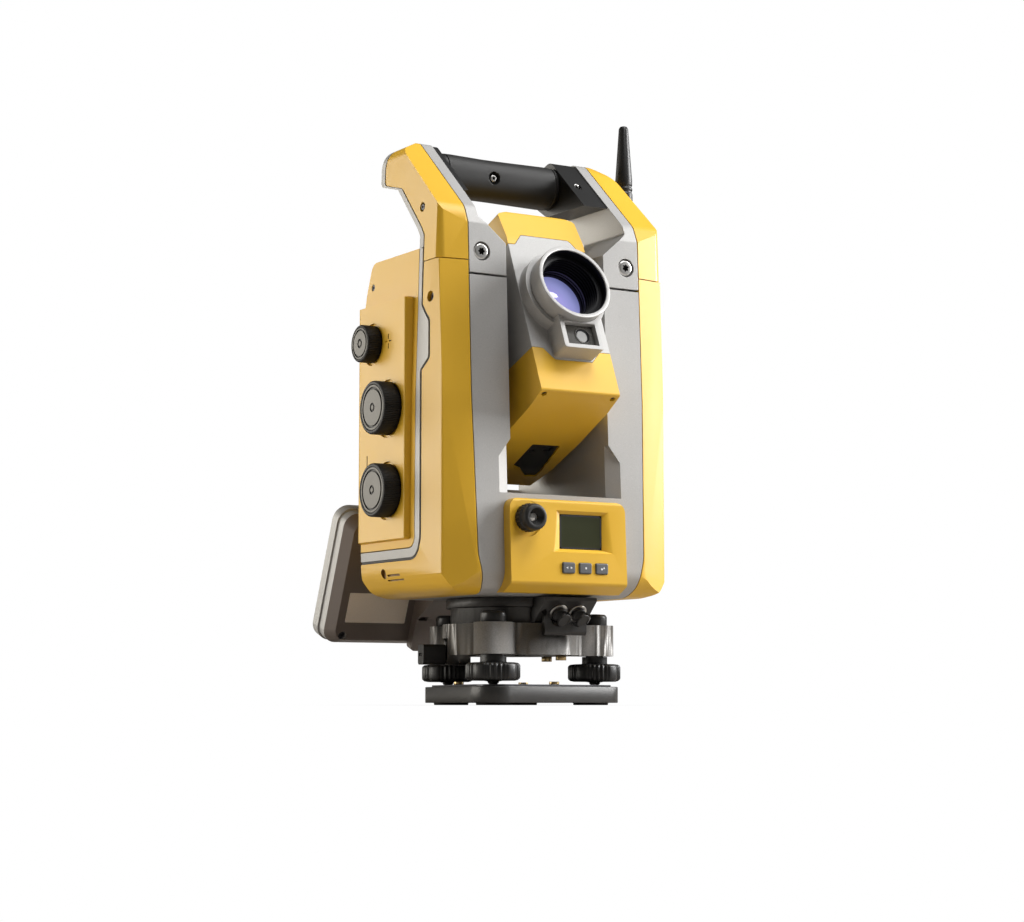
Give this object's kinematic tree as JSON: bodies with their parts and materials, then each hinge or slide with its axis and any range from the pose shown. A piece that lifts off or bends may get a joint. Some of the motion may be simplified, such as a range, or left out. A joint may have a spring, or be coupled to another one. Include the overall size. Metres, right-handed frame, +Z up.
{
  "type": "surveying total station",
  "caption": "Surveying total station: tilting telescope in a turning yoke with handle, antenna, drive knobs and clip-on control unit, on a three-screw levelling base.",
  "frame": {"origin": "centre of the levelling base's underside, on the vertical axis", "axes": "+Z up along the vertical axis, -Y towards the display side that the objective faces, -X towards the drive knobs, +Y towards the control unit"},
  "size_m": [0.2142, 0.2217, 0.416],
  "materials": {
    "yellow_cover": "fine-textured satin paint",
    "grey_casting": "cast light alloy with fine metallic grey paint",
    "grey_cover": "moulded plastic with fine metallic grey paint",
    "black_casting": "satin black anodised casting",
    "dark_metal": "dark anodised",
    "black_plastic": "satin moulded black",
    "black_rubber": "matt rubber",
    "bright_steel": "turned steel",
    "lens_glass": "coated optical glass",
    "display_window": "clear window over a dark display",
    "grey_keys": "soft-touch keys",
    "unit_shell": "satin dark moulding",
    "circuit_board": "solder-masked board"
  },
  "bodies": {
    "tribrach": {"base_plate": "black_casting", "spring_plate": "bright_steel", "tribrach_body": "black_casting", "tribrach_screws": "bright_steel", "circular_level": "lens_glass", "screw_caps": "black_plastic", "instrument_base": "black_casting", "spindle": "bright_steel", "connector_block": "black_casting", "connector_sockets": "bright_steel", "connector_caps": "black_rubber"},
    "foot_screw_a": {"foot_screw_1": "black_plastic"},
    "foot_screw_b": {"foot_screw_2": "black_plastic"},
    "foot_screw_c": {"foot_screw_3": "black_plastic"},
    "lock": {"lock_knob": "black_plastic"},
    "alidade": {"yoke_casting": "grey_casting", "azimuth_bearing": "bright_steel", "azimuth_drive": "dark_metal", "main_board": "circuit_board", "trunnion_bearings": "bright_steel", "left_cover": "yellow_cover", "right_cover": "yellow_cover", "drive_cover": "yellow_cover", "battery_cover": "yellow_cover", "battery": "black_plastic", "seam_strips": "grey_cover", "cover_gaskets": "black_rubber", "display_panel": "yellow_cover", "display_glass": "display_window", "plummet_tube": "black_plastic", "handle_frame": "grey_casting", "handle_caps": "yellow_cover", "handle_screws": "bright_steel", "grip": "black_rubber", "grip_blocks": "black_plastic", "antenna": "black_plastic", "unit_bracket": "unit_shell", "unit_back": "unit_shell", "unit_front": "grey_cover", "unit_screen": "display_window", "unit_keypad": "grey_keys"},
    "battery_door": {"battery_door": "yellow_cover"},
    "focus_knob": {"focus_knob": "black_rubber"},
    "vertical_knob": {"vertical_knob": "black_rubber"},
    "horizontal_knob": {"horizontal_knob": "black_rubber"},
    "left_key": {"left_key": "grey_keys"},
    "middle_key": {"middle_key": "grey_keys"},
    "right_key": {"right_key": "grey_keys"},
    "plummet_ring": {"plummet_ring": "black_rubber"},
    "unit_nav_key": {"unit_nav_key": "grey_keys"},
    "telescope": {"telescope_core": "dark_metal", "telescope_shell": "grey_cover", "upper_cover": "yellow_cover", "lower_cover": "yellow_cover", "elevation_drive": "dark_metal", "objective_ring": "grey_casting", "objective_lens": "lens_glass", "aiming_window": "black_plastic", "coarse_sight": "black_plastic"},
    "eyepiece": {"eyepiece": "black_rubber"}
  },
  "joints": [
    {"name": "alidade_turn", "type": "hinge", "parent": "tribrach", "child": "alidade", "pos_m": [0, 0, 0.0717], "axis": [0, 0, 1], "continuous": true},
    {"name": "telescope_tilt", "type": "hinge", "parent": "alidade", "child": "telescope", "pos_m": [0, 0, 0.248], "axis": [1, 0, 0], "continuous": true},
    {"name": "foot_screw_a_turn", "type": "hinge", "parent": "tribrach", "child": "foot_screw_a", "pos_m": [0.05832, -0.01411, 0.028], "axis": [0, 0, 1], "range_deg": [-1080, 1080]},
    {"name": "foot_screw_b_turn", "type": "hinge", "parent": "tribrach", "child": "foot_screw_b", "pos_m": [-0.01694, 0.05756, 0.028], "axis": [0, 0, 1], "range_deg": [-1080, 1080]},
    {"name": "foot_screw_c_turn", "type": "hinge", "parent": "tribrach", "child": "foot_screw_c", "pos_m": [-0.04138, -0.04345, 0.028], "axis": [0, 0, 1], "range_deg": [-1080, 1080]},
    {"name": "lock_turn", "type": "hinge", "parent": "tribrach", "child": "lock", "pos_m": [-0.05054, 0.01223, 0.034], "axis": [-0.972, 0.2351, 0], "range_deg": [0, 180]},
    {"name": "focus_knob_turn", "type": "hinge", "parent": "alidade", "child": "focus_knob", "pos_m": [-0.095, 0.0235, 0.2435], "axis": [-1, 0, 0], "continuous": true},
    {"name": "vertical_knob_turn", "type": "hinge", "parent": "alidade", "child": "vertical_knob", "pos_m": [-0.095, 0.0015, 0.1974], "axis": [-1, 0, 0], "continuous": true},
    {"name": "horizontal_knob_turn", "type": "hinge", "parent": "alidade", "child": "horizontal_knob", "pos_m": [-0.095, 0.0015, 0.1422], "axis": [-1, 0, 0], "continuous": true},
    {"name": "battery_door_swing", "type": "hinge", "parent": "alidade", "child": "battery_door", "pos_m": [0.1029, 0.0135, 0.1237], "axis": [0, 1, 0], "range_deg": [0, 100]},
    {"name": "left_key_press", "type": "slide", "parent": "alidade", "child": "left_key", "axis": [0, 1, 0], "range_m": [0, 0.0008]},
    {"name": "middle_key_press", "type": "slide", "parent": "alidade", "child": "middle_key", "axis": [0, 1, 0], "range_m": [0, 0.0008]},
    {"name": "right_key_press", "type": "slide", "parent": "alidade", "child": "right_key", "axis": [0, 1, 0], "range_m": [0, 0.0008]},
    {"name": "plummet_focus", "type": "hinge", "parent": "alidade", "child": "plummet_ring", "pos_m": [-0.0326, -0.074, 0.1218], "axis": [0, -1, 0], "range_deg": [-150, 150]},
    {"name": "unit_nav_key_press", "type": "slide", "parent": "alidade", "child": "unit_nav_key", "axis": [0, -0.9272, -0.3746], "range_m": [0, 0.0008]},
    {"name": "eyepiece_focus", "type": "hinge", "parent": "telescope", "child": "eyepiece", "pos_m": [0, 0, 0.248], "axis": [0, -0.9272, 0.3746], "range_deg": [-170, 170]}
  ]
}
